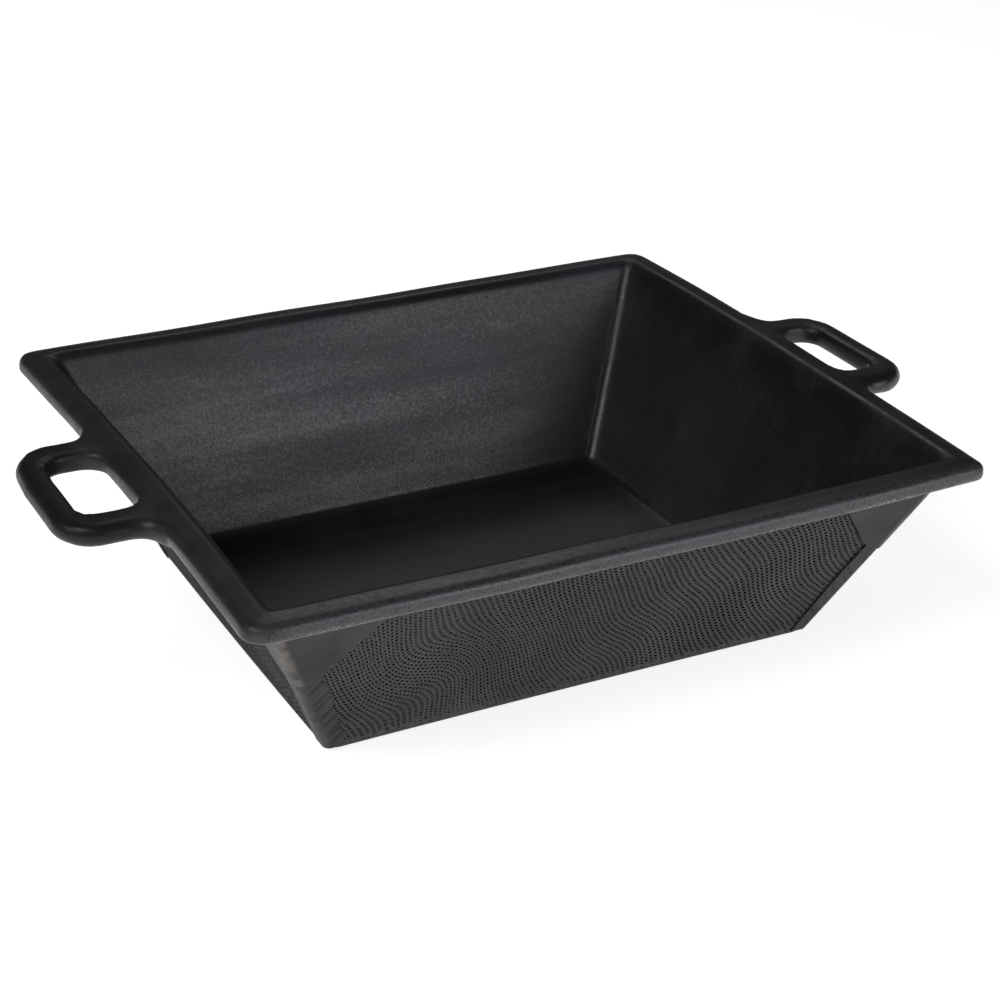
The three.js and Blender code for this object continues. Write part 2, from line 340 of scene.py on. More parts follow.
# %% [markdown]
# ## Finishes
#
# Cured rubber is nearly black. What tells its pieces apart is the wear: a grey bloom and dust in
# soft patches, fine scratches, a grain left by the cloth or the steel form, and crumbs of dried
# mortar in the seams. All of it comes from procedural noise on object coordinates, so that it
# stays put on the surface. Painted image maps could show the same, but they fix one resolution.


# %% Helpers for finishes
def add_node(material, kind, **inputs):
    """Adds a shader node and fills its inputs: a socket is linked, and a value is set."""
    made = material.node_tree.nodes.new(kind)
    for key, value in inputs.items():
        name = key.replace("_", " ").title() if not key.startswith("n_") else int(key[2:])
        if isinstance(value, bpy.types.NodeSocket):
            material.node_tree.links.new(value, made.inputs[name])
        else:
            made.inputs[name].default_value = value
    return made


def spot_of(material, stretch=(1, 1, 1)):
    """Where a point lies on the piece, stretched for a pattern."""
    where = add_node(material, "ShaderNodeTexCoord").outputs["Object"]
    mapping = add_node(material, "ShaderNodeMapping", vector=where)
    mapping.inputs["Scale"].default_value = stretch
    return mapping.outputs["Vector"]


def noise(material, per_metre, detail=4.0, roughness=0.55, stretch=(1, 1, 1)):
    """A cloudy pattern that is fixed to the piece."""
    made = add_node(
        material, "ShaderNodeTexNoise",
        vector=spot_of(material, stretch), scale=per_metre, detail=detail, roughness=roughness,
    )
    return made.outputs["Fac"]


def band(material, source, low, high, to_low=0.0, to_high=1.0):
    """Maps a range of the source to another range, clamped, with soft ends."""
    made = add_node(
        material, "ShaderNodeMapRange",
        value=source, from_min=low, from_max=high, to_min=to_low, to_max=to_high,
    )
    made.interpolation_type = "SMOOTHSTEP"
    return made.outputs["Result"]


def combine(material, operation, first, second):
    """Adds two values, takes one from the other, and so on."""
    made = add_node(material, "ShaderNodeMath", n_0=first, n_1=second)
    made.operation = operation
    return made.outputs["Value"]


def times(material, product, *others):
    for other in others:
        product = combine(material, "MULTIPLY", product, other)
    return product


def tint(material, share, first, second):
    """Goes from the first colour to the second by share."""
    made = add_node(material, "ShaderNodeMix")
    made.data_type = "RGBA"
    links = material.node_tree.links
    links.new(share, made.inputs[0])
    for index, value in ((6, first), (7, second)):
        if isinstance(value, bpy.types.NodeSocket):
            links.new(value, made.inputs[index])
        else:
            made.inputs[index].default_value = (*value, 1)
    return made.outputs[2]


def place_along(material, axis=2):
    """Where a point lies along one axis, or how high it lies."""
    where = add_node(material, "ShaderNodeTexCoord").outputs["Object"]
    return add_node(material, "ShaderNodeSeparateXYZ", vector=where).outputs[axis]


def bump(material, source, depth, strength=1.0, normal=None):
    """Lets light see a fine relief."""
    made = add_node(material, "ShaderNodeBump", height=source, strength=strength)
    made.inputs["Distance"].default_value = depth
    if normal is not None:
        material.node_tree.links.new(normal, made.inputs["Normal"])
    return made.outputs["Normal"]


# %% Rubber that has been used
# Patterns, counted per metre, and how deep the fine ones go.
CLOUDS, MOTTLE, STREAKS, HAIRS = 9, 420, 22, 160
PORE_DEPTH = 0.12 * MM
HAIR_DEPTH = 0.15 * MM
FINE_SHARE = 0.35


def worn_rubber(
    name, tone, bloom, patches, roughness, grain, scratch_way, scratches=0.5, specular=0.5
):
    """Black rubber with a grey bloom in patches, a fine grain and scratches along one way."""
    material = bpy.data.materials.new(name)
    material.use_nodes = True
    shader = material.node_tree.nodes["Principled BSDF"]
    cloud = noise(material, CLOUDS, 5, 0.6)
    mottle = noise(material, MOTTLE, 5, 0.7)
    streak = noise(material, STREAKS, 4, 0.6, stretch=scratch_way)
    dusty = times(material, band(material, cloud, 0.38, 0.66), patches)
    fine = times(material, band(material, mottle, 0.4, 0.75), patches * FINE_SHARE)
    drawn = times(material, band(material, streak, 0.5, 0.72), scratches * patches)
    share = combine(material, "ADD", combine(material, "ADD", dusty, fine), drawn)
    links = material.node_tree.links
    links.new(tint(material, share, tone, bloom), shader.inputs["Base Color"])
    low, high = roughness
    uneven = combine(material, "ADD", mottle, streak)
    links.new(band(material, uneven, 0.75, 1.3, low, high), shader.inputs["Roughness"])
    shader.inputs["Specular IOR Level"].default_value = specular
    pores = noise(material, grain, 3, 0.6)
    hair = noise(material, HAIRS, 5, 0.75, stretch=scratch_way)
    normal = bump(material, pores, PORE_DEPTH, 0.6)
    normal = bump(material, hair, HAIR_DEPTH, 0.5 * scratches, normal)
    links.new(normal, shader.inputs["Normal"])
    return material


def cover_colour(material, share, colour):
    """Lays one more colour over what is there, by share."""
    target = material.node_tree.nodes["Principled BSDF"].inputs["Base Color"]
    under = target.links[0].from_socket
    material.node_tree.links.new(tint(material, share, under, colour), target)


def set_shine(material, source):
    target = material.node_tree.nodes["Principled BSDF"].inputs["Specular IOR Level"]
    material.node_tree.links.new(source, target)


def add_crumbs(material, crumb, per_metre, low, high, where=None):
    """Lays specks of dried mortar over the colour, thickest where a mask says."""
    specks = band(material, noise(material, per_metre, 2, 0.5), low, high)
    if where is not None:
        specks = times(material, specks, where)
    cover_colour(material, specks, crumb)


# %% The rubbers
BLACK = (0.0075, 0.0075, 0.0081)
BLOOM = (0.024, 0.024, 0.032)
WARM_BLOOM = (0.036, 0.034, 0.031)
BROWN_BLOOM = (0.022, 0.019, 0.016)
ALONG_X = (0.12, 1.0, 1.0)
ALONG_Z = (1.0, 1.0, 0.15)

# The liner and the rim run into one another, so both are worn alike.
liner_rubber, rim_rubber = (
    worn_rubber(f"worn_{name}_rubber", BLACK, BLOOM, 0.45, (0.3, 0.5), 900, ALONG_X, 0.8)
    for name in ("liner", "rim")
)
panel_rubber = worn_rubber(
    "worn_panel_rubber", BLACK, WARM_BLOOM, 0.5, (0.5, 0.68), 1300, ALONG_Z, 0.3
)
patch_rubber = worn_rubber(
    "worn_patch_rubber", BLACK, WARM_BLOOM, 0.8, (0.5, 0.66), 1000, ALONG_Z, 0.4, 0.24
)
dusty_panel_rubber = worn_rubber(
    "worn_dusty_panel_rubber", BLACK, BROWN_BLOOM, 0.6, (0.6, 0.8), 1300, ALONG_Z, 0.3, 0.15
)
base_rubber = worn_rubber(
    "worn_base_rubber", BLACK, WARM_BLOOM, 0.7, (0.55, 0.75), 900, ALONG_X, 0.6
)
print("rubbers:", [material.name for material in bpy.data.materials])


# %% [markdown]
# ## Wear, dirt, and painted shade and highlights
#
# A tub that has been used holds dried mortar in the seam under its front rim, mostly near the
# corners. Its corner patches are rubbed pale along their folds, with a painted highlight there too.
# The pits of the panels are painted darker than the rubber between them, as painted shade, and the
# left end is laid lighter and duller. Each of these is one mask, made from a point's place on the
# tub and broken up with noise, which is laid over the finish.
# Painting by hand in texture paint would do the same, but couldn't be changed by a number.

# %% Dried mortar in the seams
CRUMB = (0.42, 0.33, 0.24)
CRUMBS_PER_METRE = 560
FRONT_FADE = 3 * MM
# Little mortar lies along the middle of the front, and much of it past these distances.
CORNER_FROM, CORNER_TO = 150 * MM, 200 * MM


def far_out(material, axis):
    """How far a point lies from the tub's middle along one axis, on either side."""
    return combine(material, "ABSOLUTE", place_along(material, axis), 0.0)


def residue(material, low, high, amount, inset=6 * MM):
    """Dried mortar in the seam at the front, between two heights, thickest near the corners."""
    height = place_along(material)
    heart = (low + high) / 2
    above, under = band(material, height, low, heart), band(material, height, high, heart)
    front = -half_y(low) + inset
    in_front = band(material, place_along(material, 1), front, front - FRONT_FADE)
    near_corner = band(material, far_out(material, 0), CORNER_FROM, CORNER_TO, 0.25, 1.0)
    patchy = band(material, noise(material, 22, 2, 0.5), 0.40, 0.55, 0.15, 1.0)
    mask = times(material, above, under, in_front, near_corner, patchy, amount)
    add_crumbs(material, CRUMB, CRUMBS_PER_METRE, 0.47, 0.57, mask)


residue(rim_rubber, rim_low.z + 0.2 * MM, rim_low.z + 5 * MM, 0.8, -4 * MM)
residue(patch_rubber, rim_low.z - 13 * MM, rim_low.z - 7 * MM, 0.7)
residue(panel_rubber, rim_low.z - 13 * MM, rim_low.z - 8 * MM, 0.35)
print("mortar laid in three seams")

# %% Worn folds at the corners, with a painted highlight
PALE_FOLD_AND_HIGHLIGHT = (0.15, 0.135, 0.125)
FOLD_START, FOLD_END, FOLD_FADE = -6.5 * MM, -0.5 * MM, 10 * MM
FOLD_GRAIN = 900


def worn_fold_and_highlight(material, pale, amount):
    """A paler line where a sheet folds round the tub's corners: worn rubber and a painted
    highlight.
    """
    height = place_along(material)
    past_x = combine(material, "SUBTRACT", far_out(material, 0), base_high.x)
    past_y = combine(material, "SUBTRACT", far_out(material, 1), base_high.y)
    past = combine(material, "ADD", past_x, past_y)
    past = combine(material, "SUBTRACT", past, times(material, height, lean_x + lean_y))
    line = band(material, past, FOLD_START, FOLD_END)
    patchy = band(material, noise(material, 60, 3, 0.6), 0.35, 0.65, 0.25, 1.0)
    foot = gusset_low.z
    upper = band(material, height, foot - FOLD_FADE, foot + FOLD_FADE, 0.35, 1.0)
    mask = times(material, line, patchy, upper, amount)
    add_crumbs(material, pale, FOLD_GRAIN, 0.2, 0.5, mask)


worn_fold_and_highlight(patch_rubber, PALE_FOLD_AND_HIGHLIGHT, 1.0)
print("the corner patches are worn along their folds")

# %% Painted shade in the pits, and a lighter left end
PIT_PAINTED_SHADE = (0.001, 0.001, 0.001)
PIT_SHINE = 0.02
LEFT_END_TONE = (0.035, 0.033, 0.031)
HANDLE_TONE = (0.0145, 0.0138, 0.013)
PLAIN_SHINE, LEFT_END_SHINE = 0.5, 0.22


def paint_pit_shade(material, shine_outside):
    """Paints shade into the pits: a darker colour and less shine where the pit mark is."""
    pit = material.node_tree.nodes.new("ShaderNodeAttribute")
    pit.attribute_name = "pit"
    share = pit.outputs["Fac"]
    cover_colour(material, share, PIT_PAINTED_SHADE)
    set_shine(material, band(material, share, 0.0, 1.0, shine_outside, PIT_SHINE))


def dull_end(material, untoned_x, toned_x, handle_x):
    """Towards the left end the colour is laid lighter, the handle gets one even tone, and it hardly
    shines.
    """
    share = band(material, place_along(material, 0), untoned_x, toned_x)
    cloudy = band(material, noise(material, 30, 4, 0.6), 0.35, 0.65, 0.55, 1.0)
    cover_colour(material, times(material, share, cloudy), LEFT_END_TONE)
    on_handle = band(material, place_along(material, 0), *handle_x)
    cover_colour(material, on_handle, HANDLE_TONE)
    set_shine(material, band(material, share, 0.0, 1.0, PLAIN_SHINE, LEFT_END_SHINE))


# Painted shade in the pits of the panels.
paint_pit_shade(panel_rubber, 0.39)
paint_pit_shade(dusty_panel_rubber, 0.11)
left_end = -rim_high.x
dull_end(
    rim_rubber, left_end + 40 * MM, left_end + 8 * MM, (left_end - 4 * MM, left_end - 20 * MM)
)
print("the pits are dark and the left end is dull")

# %% A rubbed front edge with a painted highlight, and dust on the left wall
RUBBED_AND_HIGHLIGHT = (0.07, 0.07, 0.075)
DUST = (0.085, 0.068, 0.05)
front_end = -rim_high.y
# Pale specks along the rim's front face: rubbed rubber and a painted highlight.
front_edge = band(rim_rubber, place_along(rim_rubber, 1), front_end + 9 * MM, front_end + 2 * MM)
rubbed_and_highlight = times(rim_rubber, front_edge, 0.6)
add_crumbs(rim_rubber, RUBBED_AND_HIGHLIGHT, 700, 0.3, 0.6, rubbed_and_highlight)
add_crumbs(dusty_panel_rubber, DUST, 650, 0.58, 0.70)
print("finishes:", [material.name for material in bpy.data.materials])


# %% [markdown]
# ## The rim
#
# On the real tub a sheet of rubber is rolled over a cord all round the mouth, and its inner edge
# runs down into the liner without a seam. Here the rim starts as one block with bevelled edges. A
# hollow is cut up into it for the wall's layers, a collar that reaches down the wall is joined on,
# and the mouth is cut through both. A profile swept round the mouth would also do, but the sharp
# front right corner and the round others are easier as bevels.

# %% A block that leans out like the walls
RIM_SEAM = 6.6 * MM
SKIN_FOOT = rim_low.z - 9 * MM
INSIDE_CORNER = 7 * MM
TOUCH = 0.1 * MM


def leaning_block(name, low, high, inset, corner):
    """A block that fills the tub's walls from inside, at an inset from their outside."""
    piece = block(
        name,
        (-half_x(low, inset), -half_y(low, inset), low),
        (half_x(low, inset), half_y(low, inset), high),
    )
    edit(piece)
    pick(piece, "FACE", lambda face: face.normal.z > 0.5)
    spread = (half_x(high, inset) / half_x(low, inset), half_y(high, inset) / half_y(low, inset), 1)
    bpy.ops.transform.resize(value=spread, center_override=(0, 0, high))
    pick(piece, "EDGE", rises)
    bpy.ops.mesh.bevel(offset=corner, segments=6, affect="EDGES")
    leave_edit()
    return piece


# %% The rim block and its rounded edges
SHARP_CORNER = 9 * MM
ROUND_CORNER = 16.6 * MM
TOP_EDGE = 5.3 * MM
UNDER_EDGE = 3.4 * MM


def at_sharp_corner(edge):
    """Whether an edge stands at the front right corner, the sharpest of the four."""
    return middle(edge).x > 0 and middle(edge).y < 0


rim = block("rim_skin", rim_low, rim_high)
edit(rim)
pick(rim, "EDGE", lambda edge: rises(edge) and at_sharp_corner(edge))
bpy.ops.mesh.bevel(offset=SHARP_CORNER, segments=6, affect="EDGES")
pick(rim, "EDGE", lambda edge: rises(edge) and not at_sharp_corner(edge))
bpy.ops.mesh.bevel(offset=ROUND_CORNER, segments=8, affect="EDGES")
pick(rim, "EDGE", lambda edge: not rises(edge) and middle(edge).z > rim_high.z - TOUCH)
bpy.ops.mesh.bevel(offset=TOP_EDGE, segments=5, affect="EDGES")
pick(rim, "EDGE", lambda edge: not rises(edge) and middle(edge).z < rim_low.z + TOUCH)
bpy.ops.mesh.bevel(offset=UNDER_EDGE, segments=4, affect="EDGES")
leave_edit()
print("the rim block has", triangles(rim), "triangles")

# %% The hollow for the layers, the collar and the mouth
BRIM_EDGE = 5.5 * MM
OVERSHOOT = 10 * MM
COLLAR_OVERLAP = 2 * MM

layers = leaning_block(
    "layers", rim_low.z - 2 * OVERSHOOT, rim_high.z - RIM_SEAM, -LAYER_GAP, CORNER
)
inside = leaning_block(
    "inside", rim_low.z - 3 * OVERSHOOT, rim_high.z, LINER_INSET - 0.4 * MM, INSIDE_CORNER
)
cut_away(layers, inside)
cut_away(rim, layers)
collar_top = rim_high.z - RIM_SEAM + COLLAR_OVERLAP
collar = leaning_block("collar", SKIN_FOOT - 8 * MM, collar_top, LINER_INSET, INSIDE_CORNER)
apply_modifier(rim, "BOOLEAN", operation="UNION", solver="EXACT", object=collar)
bpy.data.objects.remove(collar)
mouth = leaning_block(
    "mouth", SKIN_FOOT - 2 * OVERSHOOT, rim_high.z + OVERSHOOT, WALL, INSIDE_CORNER
)
cut_away(rim, mouth)
edit(rim)
brim_x, brim_y = half_x(rim_high.z, WALL), half_y(rim_high.z, WALL)
pick(
    rim, "EDGE",
    lambda edge: middle(edge).z > rim_high.z - TOUCH and not rises(edge)
    and abs(middle(edge).x) < brim_x + MM and abs(middle(edge).y) < brim_y + MM,
)
bpy.ops.mesh.bevel(offset=BRIM_EDGE, segments=5, affect="EDGES")
leave_edit()
print("the rim with its mouth has", triangles(rim), "triangles")

# %% [markdown]
# ## The two handles
#
# Each handle is a loop of rubber over a U of cord. It grows out of the rim with a wide flare, its
# outer corners are as round as a hand, and the edges of the finger opening are softened. Here it is
# a block whose root is extruded and widened step by step into the flare. Its corners and edges are
# bevelled, and the opening is cut with a block that flares at both ends. A tube along a curve would
# be quicker, but it could not carry the flare.

# %% One handle with its flare
VOXEL = 1.8 * MM
HANDLE_EDGE = 8 * MM
GRIP_EDGE = 4.5 * MM
OUTER_BEND = 33 * MM
# The flare: how far past the rim's edge, and half the handle's width there, in millimetres.
FLARE = ((15, 74.0), (9, 75.5), (4.5, 80), (1.5, 88), (-1.5, 95), (-8, 96))

start_x = rim_high.x + FLARE[0][0] * MM
start_half = FLARE[0][1] * MM
handle = block(
    "handle", (start_x, -start_half, handle_low.z), (handle_high.x, start_half, handle_high.z)
)
edit(handle)
for (_, half), (out, wider) in zip(FLARE, FLARE[1:]):
    pick(handle, "FACE", lambda face: face.normal.x < -0.9)
    spot = min(corner.co.x for corner in bmesh.from_edit_mesh(handle.data).verts)
    bpy.ops.mesh.extrude_region_move(
        TRANSFORM_OT_translate={"value": (rim_high.x + out * MM - spot, 0, 0)}
    )
    bpy.ops.transform.resize(value=(1, wider / half, 1), center_override=(0, 0, 0))
pick(handle, "EDGE", lambda edge: rises(edge) and middle(edge).x > handle_high.x - MM)
bpy.ops.mesh.bevel(offset=OUTER_BEND, segments=10, affect="EDGES")


def level_edge(edge):
    """Whether an edge runs round the handle's top or underside, clear of its root."""
    heights = (handle_high.z, handle_low.z)
    level = any(abs(corner.co.z - z) < TOUCH for z in heights for corner in edge.verts)
    upright = any(abs(face.normal.z) < 0.5 for face in edge.link_faces)
    return not rises(edge) and level and upright and middle(edge).x > rim_high.x - 2 * MM


pick(handle, "EDGE", level_edge)
bpy.ops.mesh.bevel(offset=HANDLE_EDGE, segments=6, affect="EDGES")
leave_edit()
apply_modifier(handle, "REMESH", mode="VOXEL", voxel_size=VOXEL)
print("one handle has", triangles(handle), "triangles before its opening")

# %% The finger opening
GRIP_HALF = 47 * MM
GRIP_DEPTH = 39 * MM
GRIP_START = 0.5 * MM
OUTER_CORNER, INNER_CORNER = 14 * MM, 16 * MM
FLARE_STEPS = 3
THROUGH = 2 * MM

hole = block(
    "hole",
    (rim_high.x + GRIP_START, -GRIP_HALF, handle_low.z + GRIP_EDGE),
    (rim_high.x + GRIP_DEPTH, GRIP_HALF, handle_high.z - GRIP_EDGE),
)
edit(hole)
pick(hole, "EDGE", lambda edge: rises(edge) and middle(edge).x > rim_high.x + 9 * MM)
bpy.ops.mesh.bevel(offset=OUTER_CORNER, segments=8, affect="EDGES")
pick(hole, "EDGE", lambda edge: rises(edge) and middle(edge).x < rim_high.x + MM)
bpy.ops.mesh.bevel(offset=INNER_CORNER, segments=8, affect="EDGES")
heart = (rim_high.x + GRIP_DEPTH / 2, 0, 0)
for way in (1, -1):
    pick(hole, "FACE", lambda face: face.normal.z * way > 0.9)
    for step in range(FLARE_STEPS):
        was, now = (math.pi / 2 / FLARE_STEPS * k for k in (step, step + 1))
        lift = GRIP_EDGE * (math.sin(now) - math.sin(was)) * way
        bpy.ops.mesh.extrude_region_move(TRANSFORM_OT_translate={"value": (0, 0, lift)})
        wider = GRIP_EDGE * (math.cos(was) - math.cos(now))
        spread = (1 + 2 * wider / GRIP_DEPTH, 1 + wider / GRIP_HALF, 1)
        bpy.ops.transform.resize(value=spread, center_override=heart)
    bpy.ops.mesh.extrude_region_move(TRANSFORM_OT_translate={"value": (0, 0, THROUGH * way)})
leave_edit()
cut_away(handle, hole)
print("one handle has", triangles(handle), "triangles")

# %% [markdown]
# ## One skin from rim and handles
#
# The mould presses rim and handles into one smooth skin, with soft fillets between them. Here they
# are joined, a fine voxel remesh melts the three into one skin, and a smooth rounds the joints.
# Bridging loops by hand would work too, but each fillet would have to be built by itself.

# %% One skin from the three
SOFTEN = 6
other = copy_turned(handle, "other_handle", math.pi)
bpy.ops.object.select_all(action="DESELECT")
for piece in (rim, handle, other):
    piece.select_set(True)
bpy.context.view_layer.objects.active = rim
bpy.ops.object.join()
apply_modifier(rim, "REMESH", mode="VOXEL", voxel_size=VOXEL)
apply_modifier(rim, "SMOOTH", factor=0.5, iterations=SOFTEN)
below = block(
    "below",
    (-rim_high.x - OVERSHOOT, -rim_high.y - OVERSHOOT, SKIN_FOOT - 3 * OVERSHOOT),
    (rim_high.x + OVERSHOOT, rim_high.y + OVERSHOOT, SKIN_FOOT),
)
cut_away(rim, below)
print("rim and handles are one skin of", triangles(rim), "triangles")

# %% The crown of the rim
RIM_CREST = 1.2 * MM
RIM_DROOP = 1.0 * MM
CREST_RISE = 5 * MM
DROOP_EASE = 1.2


def crown_rim(piece):
    """Lets the rim's top slope out from a crest at the mouth, as a soft rim hangs."""
    points = points_of(piece)
    x, y, z = points.T
    out = np.maximum(np.abs(x) - half_x(rim_high.z, WALL), np.abs(y) - half_y(rim_high.z, WALL))
    reach = rim_high.x - half_x(rim_high.z, WALL)
    share = np.clip(out / reach, 0, 1)
    above = np.clip((z - rim_low.z) / CREST_RISE, 0, 1)
    crest = RIM_CREST * np.clip(out / CREST_RISE, 0, 1)
    points[:, 2] += above * (crest - (RIM_CREST + RIM_DROOP) * share**DROOP_EASE)
    set_points(piece, points)


crown_rim(rim)
rim_nodes = ("rim_cover", "left_handle_sleeve", "right_handle_sleeve")
finish_piece(rim, "rim_rubber", rim_rubber, *rim_nodes, angle=60)

# %% [markdown]
# ## The liner
#
# The inside of the tub is one smooth sheet over floor and walls. It starts as a block that is
# widened at its top and opened, its creases are rounded with bevels, and level cuts give it the
# grid that lets it bow. Solidify then gives the sheet its thickness, outwards. A plane extruded
# four times would make the same, but its mitred corners would have to be joined by hand.

# %% The liner
HAIRLINE = 0.02 * MM
LINER_TOP = SKIN_FOOT - HAIRLINE
LINER_SHEET = 2.9 * MM
FLOOR_SHEET = 3.2 * MM
FLOOR_CORNER = 6 * MM
LINER_GRID = 9 * MM
floor_top = liner_low.z + FLOOR_SHEET

liner = leaning_block("liner_skin", floor_top, LINER_TOP, WALL, INSIDE_CORNER)
edit(liner)
pick(liner, "FACE", lambda face: face.normal.z > 0.9)
bpy.ops.mesh.delete(type="FACE")
pick(liner, "EDGE", lambda edge: middle(edge).z < floor_top + TOUCH)
bpy.ops.mesh.bevel(offset=FLOOR_CORNER, segments=5, affect="EDGES")
leave_edit()
for axis in range(3):
    slice_grid(liner, axis, LINER_GRID)
apply_modifier(liner, "SOLIDIFY", thickness=LINER_SHEET, offset=1, use_even_offset=True)
finish_piece(liner, "liner_rubber", liner_rubber, "inner_liner", angle=50)

# %% [markdown]
# ## The wall panels
#
# Each wall has an outer sheet, which was pressed against a rough open cloth. The knots of the
# cloth left small pits in wavy columns, with a whorl where the cloth was pushed together, and in
# places they smeared shut. Here a grid has one cell for each pit. It is pulled out of true as the
# cloth was, laid on the wall and trimmed with bisect. Its ends are pulled round the tub's corners,
# and each cell that is whole enough is inset twice, which presses a pit into it. A displacement
# map would need far more faces for the same.

# %% How the cloth lay
PIT_ACROSS = 3.15 * MM
PIT_ALONG = 3.2 * MM
LEAN_LEFT, LEAN_MORE = 0.5, 0.3
LEAN_WHERE, LEAN_OVER = 0.1, 0.07
SIDEWAYS, UPWARDS, UNTRUE = 2.0 * MM, 2.4 * MM, 0.28 * MM
SIDE_LENGTHS, UP_LENGTHS = (0.045, 0.07, 0.11), (0.05, 0.08, 0.12)
SWAY, SWAY_LENGTH = 0.10, 0.9
# The whorls of the cloth: place along the wall and up it, turn, and reach.
WHORLS = ((-0.135, -0.012, 0.85, 0.045), (0.02, -0.03, 0.35, 0.05), (0.15, 0.02, -0.3, 0.05))
# Each column of pits stands half a pit lower than the last.
STAGGER = 0.5 * PIT_ALONG / PIT_ACROSS


def skew_cloth(piece, length, seed):
    """Pulls the flat grid out of true, in x and y, as a cloth that was laid by hand."""
    points = points_of(piece)
    x, y = points[:, 0].copy(), points[:, 1].copy()
    past = (x - LEAN_WHERE * length) / (LEAN_OVER * length)
    lean = LEAN_LEFT + LEAN_MORE / (1 + np.exp(-past))
    points[:, 1] += x * STAGGER
    points[:, 0] -= lean * y
    flat = np.stack([x, y, 0 * x], axis=1)
    points[:, 0] += waves(flat, seed, SIDE_LENGTHS, SIDEWAYS)
    points[:, 1] += waves(flat, seed + 1, UP_LENGTHS, UPWARDS)
    points[:, 1] += SWAY * x * np.sin(2 * math.pi * x / (SWAY_LENGTH * length))
    for along, up_wall, most, reach in WHORLS:
        off_x, off_y = points[:, 0] - along, points[:, 1] - up_wall
        angle = most * np.exp(-(off_x**2 + off_y**2) / reach**2)
        points[:, 0] = along + off_x * np.cos(angle) - off_y * np.sin(angle)
        points[:, 1] = up_wall + off_x * np.sin(angle) + off_y * np.cos(angle)
    draw = np.random.default_rng(seed)
    points[:, :2] += draw.normal(0, UNTRUE, (len(points), 2))
    set_points(piece, points)


# %% A sheet of cells laid on a wall
TOP_GAP = 3 * MM
FOOT_LIP = 2 * MM
# The cloth is cut larger than the wall, since it lies askew.
SPARE_WIDTH, SPARE_HEIGHT = 1.6, 3.4


def wall_panel(name, half_run, lean_run, half_out, lean_out, seed):
    """The outer sheet of a wall that faces -Y, with its pits."""
    foot, top = base_high.z, rim_high.z - RIM_SEAM - TOP_GAP
    tip = math.atan(lean_out)
    slant = (top - foot) / math.cos(tip)
    length = 2 * (half_run + lean_run * top)
    wide, tall = length * SPARE_WIDTH, slant * SPARE_HEIGHT
    bpy.ops.object.select_all(action="DESELECT")
    bpy.ops.mesh.primitive_grid_add(
        x_subdivisions=round(wide / PIT_ACROSS), y_subdivisions=round(tall / PIT_ALONG), size=1
    )
    panel = bpy.context.active_object
    panel.name = panel.data.name = name
    panel.scale = (wide, tall, 1)
    settle_place(panel)
    skew_cloth(panel, length, seed)
    half_way = (foot + top) / 2
    panel.rotation_euler.x = math.pi / 2 + tip
    panel.location = (0, -(half_out + lean_out * half_way), half_way)
    settle_place(panel)

    outward = Vector((0, -math.cos(tip), -math.sin(tip)))
    edit(panel)
    for side in (-1, 1):
        spot = Vector((side * (half_run - CORNER), -half_out, 0))
        edge_way = Vector((side * lean_run, -lean_out, 1))
        cut = edge_way.cross(outward).normalized()
        cut = cut if cut.x * side > 0 else -cut
        bpy.ops.mesh.select_all(action="SELECT")
        bpy.ops.mesh.bisect(plane_co=spot, plane_no=cut, clear_outer=True)
    for height, way in ((foot + FOOT_LIP, -1), (top, 1)):
        bpy.ops.mesh.select_all(action="SELECT")
        bpy.ops.mesh.bisect(
            plane_co=(0, -half_out, height), plane_no=(0, 0, way), clear_outer=True
        )
    at_foot = foot + FOOT_LIP + TOUCH
    pick(panel, "EDGE", lambda edge: edge.is_boundary and middle(edge).z < at_foot)
    down = Vector((0, lean_out, -1)) * FOOT_LIP
    bpy.ops.mesh.extrude_edges_move(TRANSFORM_OT_translate={"value": down})
    leave_edit()
    wrap_round_corners(panel, half_run, lean_run)
    return press_pits(panel, outward, half_run, lean_run, seed)


# %% The panel's ends, round the corners
ROUND_STEPS = 3


def wrap_round_corners(panel, half_run, lean_run):
    """Pulls both end edges of a panel level round the tub's corners, up to the mitre."""
    edit(panel)
    for side in (-1, 1):
        turn_of = 0.0
        for _ in range(ROUND_STEPS):
            was, turn_of = turn_of, turn_of + math.pi / 4 / ROUND_STEPS
            step = Vector((
                side * CORNER * (math.sin(turn_of) - math.sin(was)),
                CORNER * (math.cos(was) - math.cos(turn_of)),
                0,
            ))
            reach = CORNER * math.sin(was)
            pick(
                panel, "EDGE",
                lambda edge: edge.is_boundary and rises(edge) and middle(edge).x * side
                > half_run + lean_run * middle(edge).z - CORNER + reach - 0.2 * MM,
            )
            bpy.ops.mesh.extrude_edges_move(TRANSFORM_OT_translate={"value": step})
    leave_edit()


# %% The pits
SHEET = 2.0 * MM
NARROW, SHORTER = 0.8, 0.78
WALL_OF_PIT = 0.25
# How well the cloth bit: deep pits above the first grade, faint ones down to the second.
DEEP_GRADE, FAINT_GRADE = -0.62, -1.4
# For each kind of pit: its mark, the rim left round it, its first dip and its depth, in mm.
PIT_KINDS = ((1, 0.68, 0.25, 1.2), (2, 0.84, 0.15, 0.6))
PIT_MARK = 10


def narrow_openings(panel, along, upward):
    """Draws each chosen opening a little narrower and shorter about its middle."""
    shape = bmesh.from_edit_mesh(panel.data)
    for face in shape.faces:
        if face.select:
            heart = face.calc_center_median()
            for corner in face.verts:
                off = corner.co - heart
                off += along * off.dot(along) * (NARROW - 1)
                off += upward * off.dot(upward) * (SHORTER - 1)
                corner.co = heart + off
    bmesh.update_edit_mesh(panel.data)


def mark_chosen(panel, value):
    """Writes a mark on the chosen faces, so that they can be found again."""
    shape = bmesh.from_edit_mesh(panel.data)
    tags = shape.faces.layers.int["grade"]
    for face in shape.faces:
        if face.select:
            face[tags] = value
    bmesh.update_edit_mesh(panel.data)


